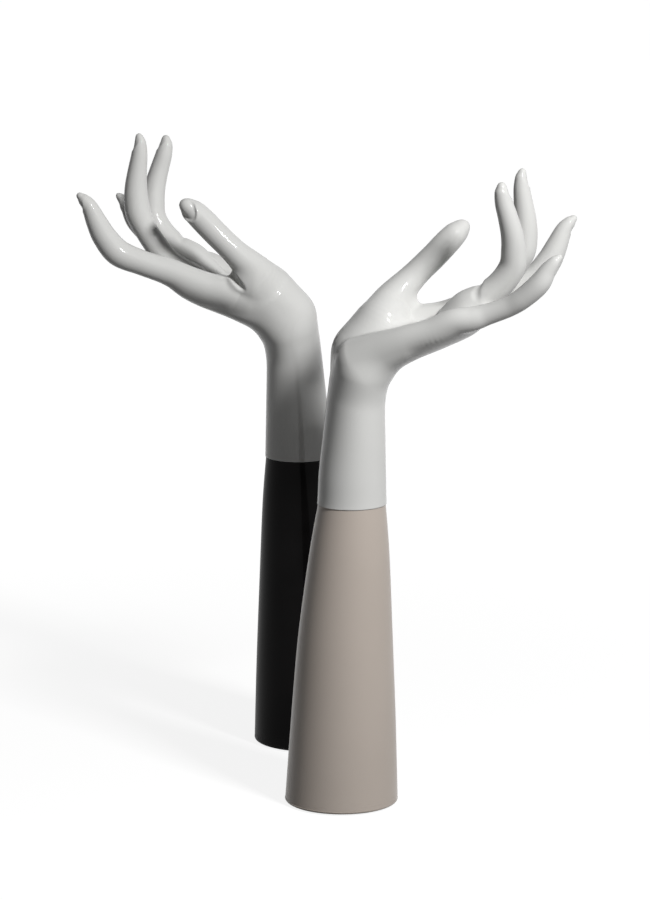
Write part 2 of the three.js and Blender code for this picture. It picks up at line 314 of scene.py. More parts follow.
def limb_distance(name, points):
    limb = LIMBS[name]
    reach = limb[:, 12].max() + NEARBY
    low, high = limb[:, :3].min(0) - reach, limb[:, :3].max(0) + reach
    near = ((points > low) & (points < high)).all(1)
    out = np.full(len(points), FAR)
    u, v, w, thick, wide, power, left = in_section(limb, points[near])
    out[near] = oval_distance(u, v, w, thick, wide, power) - nail_relief(name, u, v, left)
    return out


def arm_distance(limb, points):
    u, v, w, thick, wide, power, left = in_section(limb, points)
    return oval_distance(u, v, w, thick, wide, power)


def hand_distance(points):
    body = soft_min(arm_distance(WRIST_LIMB, points), arm_distance(PALM_LIMB, points), WRIST_FOLD)
    body = soft_min(body, limb_distance("muscle", points), MUSCLE_FLOW)
    whole = soft_min(body, limb_distance("web", points), FINGER_WEB)
    whole = soft_min(whole, limb_distance("thumb", points), THUMB_WEB)
    for name in ("index", "middle", "ring", "little"):
        finger = soft_min(body, limb_distance(name, points), FINGER_WEB)
        whole = soft_min(whole, finger, FINGER_CREASE)
    for name, edge in CUT_EDGES.items():
        whole = -soft_min(-whole, limb_distance(name, points), edge)
    return whole


palm_middle = np.array(PALM[2][:3], float)[None]
print("depth of the palm's middle under the skin", round(-float(hand_distance(palm_middle)[0]), 2), "mm")

# %% [markdown]
# ## From the field to a skin
# The field is sampled on a fine grid, but only in the blocks that the surface passes through. Where the
# sign changes, surface nets put one point in each cell and one face across each edge of the grid, which
# gives clean quads. Every point is then slid along the field's slope until its distance is zero.

# %% Surface nets
GRID = 1.0      # mm
BLOCK = 4                              # cells on a block's side
HALF_DIAGONAL = 0.87                   # of a block, as a share of its side
SPARE = 1.5                            # mm, because the field isn't an exact distance
BATCH = 400                            # blocks sampled at a time
FIELD_LOW = np.array([-26.0, -78.0, 206.0])
FIELD_HIGH = np.array([176.0, 52.0, 458.0])


def sample(field, low, high, grid):
    """The field on a grid. Blocks away from the surface only get their centre's value."""
    blocks = np.ceil((high - low) / (grid * BLOCK)).astype(int)
    index = np.stack(np.meshgrid(*[np.arange(n) for n in blocks], indexing="ij"), -1).reshape(-1, 3)
    middle = low + (index + 0.5) * BLOCK * grid
    far = field(middle)
    values = np.empty((*blocks, BLOCK, BLOCK, BLOCK), np.float32)
    values[:] = far.reshape(*blocks, 1, 1, 1)
    near = np.abs(far) < BLOCK * grid * HALF_DIAGONAL + SPARE
    inner = np.stack(np.meshgrid(*[np.arange(BLOCK)] * 3, indexing="ij"), -1).reshape(-1, 3)
    for part in np.array_split(index[near], max(1, near.sum() // BATCH)):
        p = low + (part[:, None] * BLOCK + inner[None]) * grid
        values[tuple(part.T)] = field(p.reshape(-1, 3)).reshape(len(part), BLOCK, BLOCK, BLOCK)
    return values.transpose(0, 3, 1, 4, 2, 5).reshape(blocks * BLOCK)


def surface_nets(values, low, grid):
    """Points and quads of the zero surface."""
    inside = values < 0
    cell = np.zeros(np.array(values.shape) - 1, np.int8)
    corners = [(i, j, k) for i in (0, 1) for j in (0, 1) for k in (0, 1)]
    n = cell.shape
    for i, j, k in corners:
        cell += inside[i:i + n[0], j:j + n[1], k:k + n[2]]
    active = np.argwhere((cell > 0) & (cell < 8))
    total, count = np.zeros((len(active), 3)), np.zeros(len(active))
    for a in corners:
        for axis in range(3):
            if a[axis]:
                continue
            b = tuple(1 if k == axis else a[k] for k in range(3))
            fa = values[tuple((active + a).T)].astype(float)
            fb = values[tuple((active + b).T)].astype(float)
            cross = (fa < 0) != (fb < 0)
            t = np.where(cross, fa / np.where(cross, fa - fb, 1), 0)
            total += cross[:, None] * (np.array(a) + t[:, None] * (np.array(b) - a))
            count += cross
    points = low + (active + total / count[:, None]) * grid
    number = np.full(n, -1)
    number[tuple(active.T)] = np.arange(len(active))
    quads = []
    for axis in range(3):
        one, two = [k for k in range(3) if k != axis]
        here = np.moveaxis(inside, (axis, one, two), (0, 1, 2))
        ids = np.moveaxis(number, (axis, one, two), (0, 1, 2))
        flips = here[:-1, 1:-1, 1:-1] != here[1:, 1:-1, 1:-1]
        i, j, k = np.argwhere(flips).T
        q = np.column_stack([ids[i, j, k], ids[i, j + 1, k], ids[i, j + 1, k + 1], ids[i, j, k + 1]])
        turn = here[i, j + 1, k + 1] != (axis == 1)
        q[~turn] = q[~turn, ::-1]
        quads.append(q)
    return points, np.vstack(quads)


def settle(field, points, step=0.12, rounds=2, least_slope=0.2):
    """Slides points along the field's slope until the field is zero there."""
    here = field(points)
    slope = np.column_stack([(field(points + step * way) - here) / step for way in np.eye(3)])
    steep = np.maximum((slope * slope).sum(1), least_slope)
    for _ in range(rounds):
        points = points - slope * (here / steep)[:, None]
        here = field(points)
    return points


points, quads = surface_nets(sample(hand_distance, FIELD_LOW, FIELD_HIGH, GRID), FIELD_LOW, GRID)
points = settle(hand_distance, points)
print("hand skin", len(points), "points and", len(quads), "quads")

# %% [markdown]
# ## Mesh helpers
# The hardware is made in a workshop's way: bars and discs are turned, joined and drilled. Each piece is a
# mesh whose points hold its place, so every object stays at the origin. Drilling is a Boolean with a
# plain post, and the result is baked at once, so that the next step starts from a clean mesh.

# %% Mesh helpers
MERGE_BELOW = 0.002 * MM               # points closer than this become one


def piece(name, points, faces=()):
    """A mesh object from points in millimetres."""
    mesh = bpy.data.meshes.new(name)
    corners = [[int(i) for i in face] for face in faces]
    mesh.from_pydata((np.asarray(points, float) * MM).tolist(), [], corners)
    mesh.update()
    obj = bpy.data.objects.new(name, mesh)
    bpy.context.scene.collection.objects.link(obj)
    return obj


def remove(*objects):
    for obj in objects:
        bpy.data.objects.remove(obj, do_unlink=True)


def baked(obj):
    """Turns what the modifiers show into the object's own plain mesh."""
    bpy.context.view_layer.update()
    mesh = bpy.data.meshes.new_from_object(obj.evaluated_get(bpy.context.evaluated_depsgraph_get()))
    obj.modifiers.clear()
    obj.data = mesh
    return obj


def combined(obj, tool, how):
    """obj with tool joined to it or cut out of it. The tool is used up."""
    change = obj.modifiers.new("cut", "BOOLEAN")
    change.operation = how
    change.solver = "EXACT"
    change.object = tool
    baked(obj)
    remove(tool)
    return obj


def post(radius, height, x, y, z, sides=64):
    """An upright cylinder that stands on height z, for cutting and joining."""
    turn = np.arange(sides) * 2 * math.pi / sides
    rim = np.column_stack([x + radius * np.cos(turn), y + radius * np.sin(turn), np.full(sides, z)])
    sides_of = [(i, (i + 1) % sides, sides + (i + 1) % sides, sides + i) for i in range(sides)]
    ends = [tuple(range(sides))[::-1], tuple(range(sides, 2 * sides))]
    return piece("post", np.vstack([rim, rim + (0, 0, height)]), sides_of + ends)


def tidy_mesh(obj, smooth_below=35):
    """Merged points, outward faces, and edges that stay sharp above an angle."""
    mesh = bmesh.new()
    mesh.from_mesh(obj.data)
    bmesh.ops.remove_doubles(mesh, verts=mesh.verts, dist=MERGE_BELOW)
    bmesh.ops.recalc_face_normals(mesh, faces=mesh.faces)
    mesh.to_mesh(obj.data)
    mesh.free()
    obj.data.shade_smooth()
    obj.data.set_sharp_from_angle(angle=math.radians(smooth_below))
    return obj


print("points are merged below", MERGE_BELOW, "m")

# %% [markdown]
# ## Writing node trees
# A node tree is a recipe: its named inputs are the sizes that a maker would set on the machine, and its
# nodes are the steps. Written by hand each node takes many lines, so these helpers add one node and link
# it in a single call. Geometry trees and shader groups are built with the same helpers.

# %% Node helpers
def tree_with(name, inputs, outputs, tree_type="GeometryNodeTree"):
    """An empty node tree with named sockets, and the ends that its nodes are linked to."""
    tree = bpy.data.node_groups.new(name, tree_type)
    for way, sockets in (("INPUT", inputs), ("OUTPUT", outputs)):
        for label, kind in sockets.items():
            tree.interface.new_socket(label, in_out=way, socket_type="NodeSocket" + kind)
    return tree, tree.nodes.new("NodeGroupInput").outputs, tree.nodes.new("NodeGroupOutput").inputs


def node(tree, kind, sockets, **settings):
    """A node with its settings. Each socket takes a plain value or another node's output."""
    n = tree.nodes.new(kind)
    for key, value in settings.items():
        setattr(n, key, value)
    for key, value in sockets.items():
        if isinstance(value, bpy.types.NodeSocket):
            tree.links.new(value, n.inputs[key])
        else:
            n.inputs[key].default_value = value
    return n


def maths(tree, operation, *values):
    return node(tree, "ShaderNodeMath", dict(enumerate(values)), operation=operation).outputs[0]


def finished(tree, geometry, finish, output):
    """Closes the mesh and ends the tree as a plain mesh with its material."""
    merged = node(tree, "GeometryNodeMergeByDistance", {"Geometry": geometry, "Distance": MERGE_BELOW})
    real = node(tree, "GeometryNodeRealizeInstances", {"Geometry": merged.outputs[0]})
    coated = node(tree, "GeometryNodeSetMaterial", {"Geometry": real.outputs[0], "Material": finish})
    tree.links.new(coated.outputs[0], output)


def made_by(tree, name, values):
    """A plain mesh object made by a tree, with its inputs given by name."""
    obj = piece(name, [])
    modifier = obj.modifiers.new("nodes", "NODES")
    modifier.node_group = tree
    for item in tree.interface.items_tree:
        if item.in_out == "INPUT" and item.name in values:
            modifier[item.identifier] = values[item.name]
    return tidy_mesh(baked(obj))


print("node helpers for Blender", bpy.app.version_string)

# %% [markdown]
# ## A lathe whose centre can lean
# The sleeve is turned, but its axis leans towards the fingers, and the ballast and base plate have their
# hole off centre. One Geometry Nodes tree makes them all. It reads a profile whose points hold radius,
# lean and height, lays a grid over it and bends each row of the grid into a ring round its own centre.

# %% The leaning lathe
def ring_grid(tree, rows, sides):
    """A grid with a row for each ring, and each point's row and its angle round the ring."""
    calc = partial(maths, tree)
    columns = calc("ADD", sides, 1)
    grid = node(tree, "GeometryNodeMeshGrid", {"Vertices X": rows, "Vertices Y": columns})
    index = tree.nodes.new("GeometryNodeInputIndex").outputs[0]
    row = calc("FLOOR", calc("DIVIDE", calc("ADD", index, 0.5), columns))
    column = calc("SUBTRACT", index, calc("MULTIPLY", row, columns))
    angle = calc("MULTIPLY", column, calc("DIVIDE", 2 * math.pi, sides))
    return grid.outputs["Mesh"], row, angle


def bent(tree, grid, angle, radius, lean, height):
    """The grid's points set on rings."""
    calc = partial(maths, tree)
    x = calc("ADD", lean, calc("MULTIPLY", radius, calc("COSINE", angle)))
    y = calc("MULTIPLY", radius, calc("SINE", angle))
    place = node(tree, "ShaderNodeCombineXYZ", {"X": x, "Y": y, "Z": height})
    moved = node(tree, "GeometryNodeSetPosition", {"Geometry": grid, "Position": place.outputs[0]})
    return moved.outputs[0]


def leaning_lathe():
    inputs = {"Profile": "Object", "Sides": "Int", "Finish": "Material"}
    tree, given, output = tree_with("leaning_lathe", inputs, {"Geometry": "Geometry"})
    info = node(tree, "GeometryNodeObjectInfo", {"Object": given["Profile"]})
    profile = info.outputs["Geometry"]
    count = node(tree, "GeometryNodeAttributeDomainSize", {"Geometry": profile}).outputs["Point Count"]
    grid, row, angle = ring_grid(tree, count, given["Sides"])
    position = tree.nodes.new("GeometryNodeInputPosition").outputs[0]
    at_row = node(
        tree, "GeometryNodeSampleIndex", {"Geometry": profile, "Value": position, "Index": row},
        data_type="FLOAT_VECTOR",
    )
    parts = node(tree, "ShaderNodeSeparateXYZ", {"Vector": at_row.outputs[0]}).outputs
    finished(tree, bent(tree, grid, angle, parts["X"], parts["Y"], parts["Z"]), given["Finish"], output[0])
    return tree


LATHE = leaning_lathe()


def turned(name, profile, finish, sides=96):
    """A piece turned from rows of radius, lean and height in mm."""
    guide = piece(name + "_profile", profile)
    obj = made_by(LATHE, name, {"Profile": guide, "Sides": sides, "Finish": finish})
    remove(guide)
    return obj


print("lathe tree", len(LATHE.nodes), "nodes")

# %% [markdown]
# ## Patterns for several finishes
# Each effect is a shader node group with named inputs, so the lacquers, the boards and the metals only
# differ in the values they give it. Sizes are in millimetres. All patterns read Object coordinates, and
# every piece sits at the origin, so nothing slides when the rear arm turns.

# %% Pattern helpers
def effect(name, colours, numbers):
    """An empty shader node group with named inputs that gives a colour, a roughness and a normal."""
    inputs = {**dict.fromkeys(colours, "Color"), **dict.fromkeys(numbers, "Float")}
    outputs = {"Colour": "Color", "Roughness": "Float", "Normal": "Vector"}
    return tree_with(name, inputs, outputs, "ShaderNodeTree")


def give(tree, out, colour, roughness, normal):
    for label, value in (("Colour", colour), ("Roughness", roughness), ("Normal", normal)):
        tree.links.new(value, out[label])
    return tree


def in_millimetres(tree, stretch=(1, 1, 1)):
    """Object coordinates in millimetres, squeezed along an axis where stretch is above 1."""
    place = tree.nodes.new("ShaderNodeTexCoord").outputs["Object"]
    scale = tuple(s / MM for s in stretch)
    return node(tree, "ShaderNodeVectorMath", {0: place, 1: scale}, operation="MULTIPLY").outputs[0]


def noise(tree, place, size, detail=2.0, seed=0.0):
    """Noise between 0 and 1 whose lumps are about size mm across."""
    scale = maths(tree, "DIVIDE", 1, size)
    values = {"Vector": place, "W": seed, "Scale": scale, "Detail": detail}
    return node(tree, "ShaderNodeTexNoise", values, noise_dimensions="4D").outputs["Fac"]


def between(tree, value, low, high, to_low=0.0, to_high=1.0):
    """value from low to high becomes to_low to to_high, smoothly and no further."""
    values = {"Value": value, "From Min": low, "From Max": high, "To Min": to_low, "To Max": to_high}
    return node(tree, "ShaderNodeMapRange", values, interpolation_type="SMOOTHSTEP").outputs["Result"]


def blend(tree, amount, first, second):
    return node(tree, "ShaderNodeMix", {0: amount, 6: first, 7: second}, data_type="RGBA").outputs[2]


def bump(tree, height, depth):
    """The normal of a relief. height is between 0 and 1, and depth is in mm."""
    values = {"Height": height, "Distance": maths(tree, "MULTIPLY", depth, MM), "Strength": 1.0}
    return node(tree, "ShaderNodeBump", values).outputs["Normal"]


print("patterns are in units of", MM, "m")

# %% [markdown]
# ## Three effects
# Sprayed lacquer is never quite flat: it has slow waves, fine orange peel and a few specks of dust, and
# the foot gets scuffed on the table. Board, felt and cast iron are two sizes of grain. Turned metal keeps
# fine tool marks and tarnishes in clouds. Each effect is one group that several materials share.

# %% Lacquer, flecks and cut metal
# how far each mark mixes the worn colour in, and what it adds to the roughness
CLOUD_TINT, SCUFF_TINT, SPECK_TINT = 0.05, 0.35, 0.10
CLOUD_ROUGH, SCUFF_ROUGH, SPECK_ROUGH = 0.03, 0.3, 0.2
WAVE_HEIGHT = 5                        # of the slow waves, times the peel's
SPECK_CELLS = 0.32                     # per mm, and about a quarter of them hold a speck
LUMP_SHARE = 0.4                       # of the lumps in a mottled surface, the rest is fine grain
FLECK_ROUGH, TARNISH_ROUGH, MARK_ROUGH = 0.15, 0.18, 0.08


def lacquer_effect():
    """Sprayed lacquer: slow waves and fine peel, faint clouds, specks of dust, and scuffs near the foot."""
    numbers = ["Roughness", "Peel size", "Peel depth", "Scuffed height"]
    tree, given, out = effect("sprayed_lacquer", ["Colour", "Worn colour"], numbers)
    calc = partial(maths, tree)
    place = in_millimetres(tree)
    clouds = between(tree, noise(tree, place, size=38, detail=3), 0.35, 0.65)
    height = node(tree, "ShaderNodeSeparateXYZ", {"Vector": place}).outputs["Z"]
    low = between(tree, height, 0, given["Scuffed height"], 1, 0)
    long_noise = noise(tree, in_millimetres(tree, (1, 1, 7)), size=5, detail=4, seed=3)
    scuffs = calc("MULTIPLY", low, between(tree, long_noise, 0.52, 0.66))
    cells = node(tree, "ShaderNodeTexVoronoi", {"Vector": place, "Scale": SPECK_CELLS, "Randomness": 1.0})
    near = between(tree, cells.outputs["Distance"], 0.02, 0.07, 1, 0)
    chosen = node(tree, "ShaderNodeSeparateColor", {"Color": cells.outputs["Color"]}).outputs[0]
    specks = calc("MULTIPLY", near, between(tree, chosen, 0.72, 0.76))
    faded = calc("MULTIPLY_ADD", clouds, CLOUD_TINT, calc("MULTIPLY", scuffs, SCUFF_TINT))
    worn = calc("MULTIPLY_ADD", specks, SPECK_TINT, faded)
    colour = blend(tree, worn, given["Colour"], given["Worn colour"])
    rough = calc("MULTIPLY_ADD", clouds, CLOUD_ROUGH, given["Roughness"])
    rough = calc("MULTIPLY_ADD", scuffs, SCUFF_ROUGH, rough)
    rough = calc("MULTIPLY_ADD", specks, SPECK_ROUGH, rough)
    peel = noise(tree, place, given["Peel size"], detail=1)
    waves = calc("MULTIPLY", noise(tree, place, size=22, detail=1, seed=7), WAVE_HEIGHT)
    return give(tree, out, colour, rough, bump(tree, calc("ADD", peel, waves), given["Peel depth"]))


def flecks_effect():
    """Two grain sizes that mottle a colour and raise the surface, as in board, felt and cast iron."""
    numbers = ["Fleck size", "Lump size", "Depth", "Roughness"]
    tree, given, out = effect("flecks", ["Dark", "Light"], numbers)
    calc = partial(maths, tree)
    place = in_millimetres(tree)
    fine = noise(tree, place, given["Fleck size"], detail=4)
    lumps = noise(tree, place, given["Lump size"], detail=2, seed=5)
    mixed = calc("MULTIPLY_ADD", lumps, LUMP_SHARE, calc("MULTIPLY", fine, 1 - LUMP_SHARE))
    colour = blend(tree, between(tree, mixed, 0.36, 0.64), given["Dark"], given["Light"])
    rough = calc("MULTIPLY_ADD", fine, FLECK_ROUGH, given["Roughness"])
    return give(tree, out, colour, rough, bump(tree, mixed, given["Depth"]))


def cut_metal_effect():
    """Fine tool marks round the axis, and tarnish in clouds."""
    numbers = ["Mark spacing", "Depth", "Roughness"]
    tree, given, out = effect("cut_metal", ["Bright", "Tarnish"], numbers)
    calc = partial(maths, tree)
    marks = noise(tree, in_millimetres(tree, (0.05, 0.05, 1)), given["Mark spacing"], detail=2)
    clouds = between(tree, noise(tree, in_millimetres(tree), size=6, detail=4, seed=2), 0.4, 0.7)
    colour = blend(tree, clouds, given["Bright"], given["Tarnish"])
    rough = calc("MULTIPLY_ADD", clouds, TARNISH_ROUGH, given["Roughness"])
    rough = calc("MULTIPLY_ADD", marks, MARK_ROUGH, rough)
    return give(tree, out, colour, rough, bump(tree, marks, given["Depth"]))


LACQUER, FLECKS, CUT_METAL = lacquer_effect(), flecks_effect(), cut_metal_effect()
print("effects", [g.name for g in (LACQUER, FLECKS, CUT_METAL)])

# %% [markdown]
# ## Finishes
# The hands and sleeves are lacquered resin: a coloured coat under a clear one that is polished but not
# quite flat. The clear coat is kept weak, because the photograph shows sharp lamp reflections but hardly
# any of the white room. The pieces inside the foot have the plain finishes of bought-in hardware.

# %% Finishes
def finish(name, group, values, **constants):
    """A Principled material whose colour, roughness and normal come from a shared effect."""
    made = bpy.data.materials.new(name)
    made.use_nodes = True
    tree = made.node_tree
    shader = tree.nodes["Principled BSDF"]
    for key, value in constants.items():
        shader.inputs[key.replace("_", " ")].default_value = value
    source = node(tree, "ShaderNodeGroup", {}, node_tree=group)
    for key, value in values.items():
        source.inputs[key].default_value = value
    for label, socket in (("Colour", "Base Color"), ("Roughness", "Roughness"), ("Normal", "Normal")):
        tree.links.new(source.outputs[label], shader.inputs[socket])
    return made


def rgb(r, g, b):
    return (r, g, b, 1)


def lacquer(name, colour, worn, peel_size, shine, coat):
    values = {"Colour": colour, "Worn colour": worn, "Roughness": 0.34, "Peel size": peel_size,
              "Peel depth": 0.006, "Scuffed height": 12.0}
    return finish(name, LACQUER, values, Specular_IOR_Level=shine, Coat_Weight=coat, Coat_Roughness=0.035)


WHITE = lacquer("white_lacquer", rgb(0.64, 0.64, 0.625), rgb(0.50, 0.49, 0.46), 1.6, 0.05, 0.4)
TAUPE = lacquer("taupe_lacquer", rgb(0.475, 0.417, 0.37), rgb(0.31, 0.27, 0.23), 1.3, 0.1, 0.2)
BLACK = lacquer("black_lacquer", rgb(0.0015, 0.0013, 0.0014), rgb(0.05, 0.045, 0.045), 1.3, 0.03, 0.05)
FIBREBOARD = finish("fibreboard", FLECKS, {
    "Dark": rgb(0.13, 0.075, 0.035), "Light": rgb(0.34, 0.21, 0.11), "Fleck size": 0.8, "Lump size": 6.0,
    "Depth": 0.06, "Roughness": 0.72,
})
FELT = finish("felt", FLECKS, {
    "Dark": rgb(0.006, 0.006, 0.007), "Light": rgb(0.035, 0.035, 0.038), "Fleck size": 0.5,
    "Lump size": 3.5, "Depth": 0.25, "Roughness": 0.85,
}, Sheen_Weight=0.5, Specular_IOR_Level=0.1)
IRON = finish("ballast_iron", FLECKS, {
    "Dark": rgb(0.03, 0.028, 0.027), "Light": rgb(0.085, 0.08, 0.075), "Fleck size": 0.9, "Lump size": 7.0,
    "Depth": 0.18, "Roughness": 0.55,
}, Metallic=0.6)
STEEL = finish("plated_steel", CUT_METAL, {
    "Bright": rgb(0.58, 0.59, 0.6), "Tarnish": rgb(0.4, 0.41, 0.4), "Mark spacing": 0.2, "Depth": 0.004,
    "Roughness": 0.24,
}, Metallic=1.0)
BRASS = finish("brass_insert", CUT_METAL, {
    "Bright": rgb(0.62, 0.42, 0.15), "Tarnish": rgb(0.36, 0.22, 0.08), "Mark spacing": 0.3, "Depth": 0.006,
    "Roughness": 0.26,
}, Metallic=1.0)
FINISHES = {
    "white_lacquer": WHITE, "taupe_lacquer": TAUPE, "black_lacquer": BLACK, "fibreboard": FIBREBOARD,
    "felt": FELT, "ballast_iron": IRON, "plated_steel": STEEL, "brass_insert": BRASS,
}
print("finishes", list(FINISHES))

# %% [markdown]
# ## The hand's seat on the sleeve
# The skin is cut level at the colour line with a slight chamfer. Below it a spigot reaches into the
# sleeve, with a bore for the threaded insert and a hole for the dowel that keeps the hand from turning.

# %% The seat of the hand
SEAM_Z, SEAM_X, SEAM_R = 214.8, 7.2, 23.5
SEAM_CHAMFER = 0.06
FIT = 0.3              # clearance all round between pieces that go into each other
PAST = 1               # a tool reaches this far past the face that it cuts or joins
SPIGOT_R, SPIGOT_H = 17.5, 15.8
ROD_X, ROD_R = 4.5, 4
ANCHOR_R, ANCHOR_H, ANCHOR_SUNK, ANCHOR_CAP = 7, 20, 3, 3
DOWEL_R, DOWEL_H = 1.5, 14
DOWEL_Y = (SPIGOT_R + FIT + SEAM_R) / 2


def hand_casting():
    hand = piece("hand_skin", points, quads)
    mesh = bmesh.new()
    mesh.from_mesh(hand.data)
    everything = mesh.verts[:] + mesh.edges[:] + mesh.faces[:]
    cut_at = Vector((0, 0, SEAM_Z + SEAM_CHAMFER)) * MM
    bmesh.ops.bisect_plane(mesh, geom=everything, plane_co=cut_at, plane_no=(0, 0, 1), clear_inner=True)
    rim = [e for e in mesh.edges if e.is_boundary]
    lower = bmesh.ops.extrude_edge_only(mesh, edges=rim)["geom"]
    middle = Vector((SEAM_X * MM, 0, 0))
    for v in lower:
        if isinstance(v, bmesh.types.BMVert):
            out = Vector((v.co.x, v.co.y, 0)) - middle
            v.co = middle + out * (1 - SEAM_CHAMFER / SEAM_R) + Vector((0, 0, SEAM_Z * MM))
    bmesh.ops.holes_fill(mesh, edges=[e for e in mesh.edges if e.is_boundary])
    bmesh.ops.recalc_face_normals(mesh, faces=mesh.faces)
    mesh.to_mesh(hand.data)
    mesh.free()
    combined(hand, post(SPIGOT_R, SPIGOT_H + PAST, SEAM_X, 0, SEAM_Z - SPIGOT_H), "UNION")
    bore = PAST + ANCHOR_SUNK + ANCHOR_H + FIT
    combined(hand, post(ANCHOR_R + FIT, bore, ROD_X, 0, SEAM_Z - SPIGOT_H - PAST), "DIFFERENCE")
    hole = PAST + DOWEL_H / 2 + FIT
    combined(hand, post(DOWEL_R + FIT, hole, SEAM_X, DOWEL_Y, SEAM_Z - PAST, 32), "DIFFERENCE")
    return tidy_mesh(hand, 50)


hand = hand_casting()
print("hand", len(hand.data.vertices), "points", len(hand.data.polygons), "faces")

# %% [markdown]
# ## The sleeves
# Outside, the sleeve follows a smooth line through five sizes, with a soft edge where it meets the felt.
# Inside it is hollow, with a recess for the base plate, a ledge above it and a socket for the spigot. All
# of that is one closed profile, so the wall has a real thickness wherever it is seen.

# %% Sleeves
FOOT_EDGE, SLEEVE_CLEAR, WALL, RIM, LEDGE = 1.8, 1, 5, 4.5, 3.3
FELT_H, PLATE_H = 3, 14
# height, lean of the centre and outer radius, in mm
SLEEVE = [[0, 0, 39.8], [60, 1.4, 36.8], [120, 2.8, 33.1], [180, 5.5, 27.9], [SEAM_Z, SEAM_X, SEAM_R]]
FOOT_R = SLEEVE[0][2]
PLATE_R = FOOT_R - RIM - FIT
PLATE_TOP = FELT_H + PLATE_H
SOCKET_Z = SEAM_Z - SPIGOT_H - FIT
TOP_EDGE = 0.06        # the sleeve's upper edge is broken just enough to catch the light


def closed(loop):
    return loop + loop[:1]


def sleeve_profile():
    line = smooth(SLEEVE, 24)
    outer = [(r, lean, z) for z, lean, r in line if SLEEVE_CLEAR + FOOT_EDGE < z < SEAM_Z - TOP_EDGE]
    turn = np.radians(np.linspace(0, 90, 7))
    foot = [(FOOT_R - FOOT_EDGE * (1 - math.sin(a)), 0, SLEEVE_CLEAR + FOOT_EDGE * (1 - math.cos(a)))
            for a in turn]
    top = [(SEAM_R - TOP_EDGE * (1 - math.cos(a)), SEAM_X, SEAM_Z - TOP_EDGE * (1 - math.sin(a)))
           for a in turn]
    socket_r = SPIGOT_R + FIT
    hollow = [(min(r - WALL, PLATE_R - LEDGE), lean, z) for z, lean, r in smooth(SLEEVE, 8)
              if PLATE_TOP < z < SOCKET_Z]
    neck_r, neck_x = hollow[-1][:2]
    inner = [(socket_r, SEAM_X, SEAM_Z), (socket_r, SEAM_X, SOCKET_Z), (neck_r, neck_x, SOCKET_Z)]
    plate_r = PLATE_R + FIT
    recess = [(PLATE_R - LEDGE, 0, PLATE_TOP), (plate_r, 0, PLATE_TOP), (plate_r, 0, SLEEVE_CLEAR)]
    return closed([*foot, *outer, *top, *inner, *hollow[::-1], *recess])


def sleeve():
    shell = turned("sleeve_shell", sleeve_profile(), TAUPE, 160)
    hole = DOWEL_H / 2 + FIT
    combined(shell, post(DOWEL_R + FIT, hole + PAST, SEAM_X, DOWEL_Y, SEAM_Z - hole, 32), "DIFFERENCE")
    return tidy_mesh(shell)


sleeve_shell = sleeve()
print("sleeve", len(sleeve_shell.data.polygons), "faces")

# %% [markdown]
# ## The foot
# A felt pad, a fibreboard plate and a cast-iron weight close and load the foot. They are turned like the
# sleeve, with their corners broken as a maker would, and the two upper ones have the rod's hole off
# centre, because the rod stands under the wrist.

# %% Foot
FELT_R = PLATE_R - 0.5
RECESS_R, RECESS_H = 14, 9
BALLAST_R, BALLAST_H = PLATE_R - LEDGE - 2.7, 40
HOLE_R = ROD_R + FIT


def rounded(rows, steps=4):
    """The profile with round corners. A row's fourth value is its corner's radius."""
    out = []
    for i, row in enumerate(rows):
        size = row[3] if len(row) > 3 else 0
        at = np.array(row[:3], float)
        if not size:
            out.append(at)
            continue
        before, after = np.array(rows[i - 1][:3]) - at, np.array(rows[(i + 1) % len(rows)][:3]) - at
        a, b = at + before / np.linalg.norm(before) * size, at + after / np.linalg.norm(after) * size
        for t in np.linspace(0, 1, steps + 1):
            out.append((1 - t) ** 2 * a + 2 * t * (1 - t) * at + t * t * b)
    return out


def felt_profile():
    """The pad thins where its cut edge was pressed, and its upper face is a little uneven."""
    edge = rounded([(FELT_R - 6, 0, 0), (FELT_R, 0, 0.15, 0.9), (FELT_R, 0, FELT_H - 0.25, 0.9),
                    (FELT_R - 6, 0, FELT_H)], 6)
    low = [(r, 0, 0) for r in np.linspace(0, FELT_R - 8, 12)]
    high = [(r, 0, FELT_H - 0.05 * (1 + math.cos(r))) for r in np.linspace(FELT_R - 8, 0, 12)]
    return low + edge + high


def plate_profile():
    step = FELT_H + RECESS_H
    rows = [(RECESS_R, ROD_X, FELT_H, 0.4), (PLATE_R, 0, FELT_H, 0.6), (PLATE_R, 0, PLATE_TOP, 0.6),
            (HOLE_R, ROD_X, PLATE_TOP), (HOLE_R, ROD_X, step), (RECESS_R, ROD_X, step)]
    return closed(rounded(rows))


def ballast_profile():
    high = PLATE_TOP + BALLAST_H
    rows = [(HOLE_R, ROD_X, PLATE_TOP), (BALLAST_R, 0, PLATE_TOP, 1.5), (BALLAST_R, 0, high, 1.5),
            (HOLE_R, ROD_X, high)]
    return closed(rounded(rows))


felt_pad = turned("felt_pad", felt_profile(), FELT, 128)
base_plate = turned("base_plate", plate_profile(), FIBREBOARD, 128)
ballast = turned("ballast", ballast_profile(), IRON, 128)
print("foot", [len(o.data.polygons) for o in (felt_pad, base_plate, ballast)])

# %% [markdown]
# ## Thread and knurl
# A rolled thread is a ridge that climbs one pitch in each turn, and a diamond knurl is two sets of ridges
# that climb steeply in opposite ways. One tree makes both: it lowers a bar's surface by a wave of the
# angle and the height, and leaves the bar plain between its ribbed ends.

